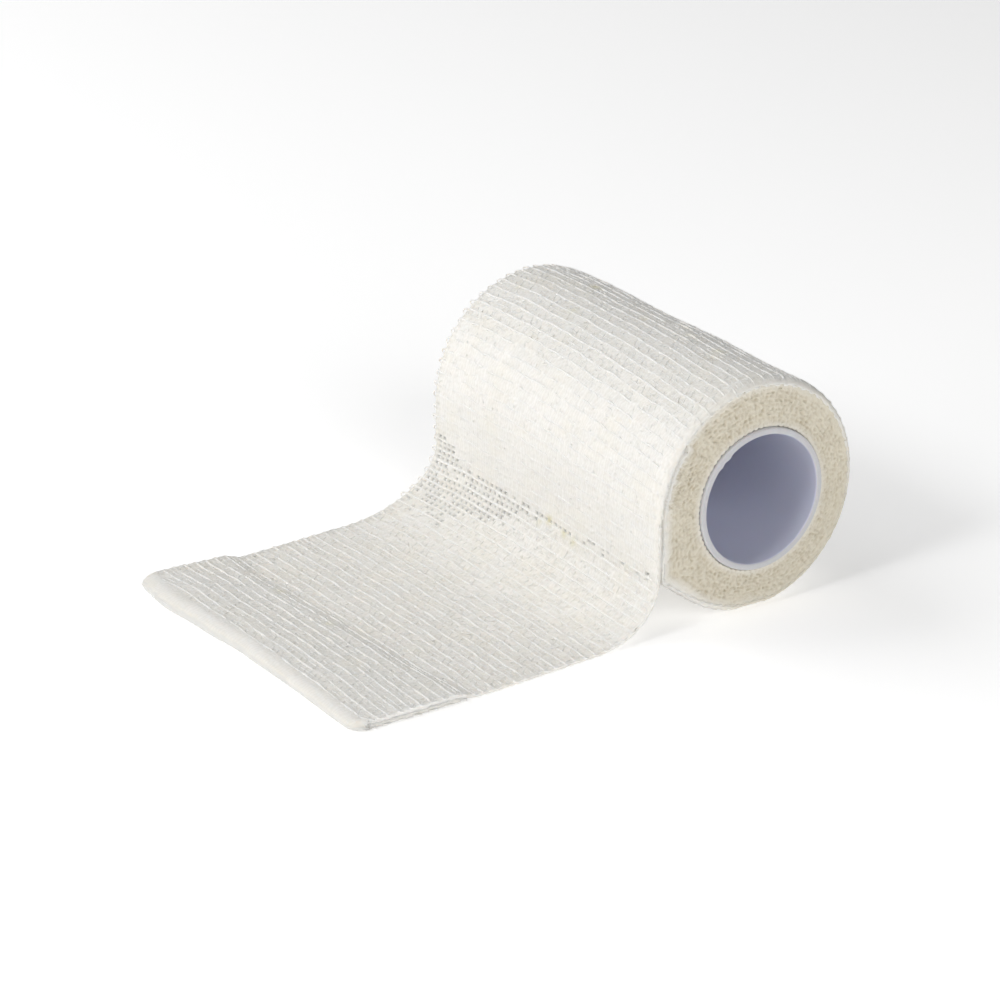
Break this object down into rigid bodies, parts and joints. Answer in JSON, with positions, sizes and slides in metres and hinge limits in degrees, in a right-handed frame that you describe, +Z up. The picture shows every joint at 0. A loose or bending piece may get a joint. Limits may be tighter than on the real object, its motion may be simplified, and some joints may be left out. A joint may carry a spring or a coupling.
{
  "type": "cohesive bandage roll",
  "caption": "Off-white cohesive crepe bandage wound on a short plastic core, with its loose end peeled off to one side and laid flat.",
  "frame": {"origin": "middle of the object's footprint, on the surface it lies on", "axes": "+Y along the roll's axis, -X towards the loose end, +Z up"},
  "size_m": [0.1158, 0.0769, 0.0465],
  "materials": {
    "cloth": "matt off-white crepe gauze with a cohesive coating",
    "core_plastic": "smooth white plastic with a soft gloss"
  },
  "bodies": {
    "root": {"bandage": "cloth", "core": "core_plastic"}
  },
  "joints": []
}
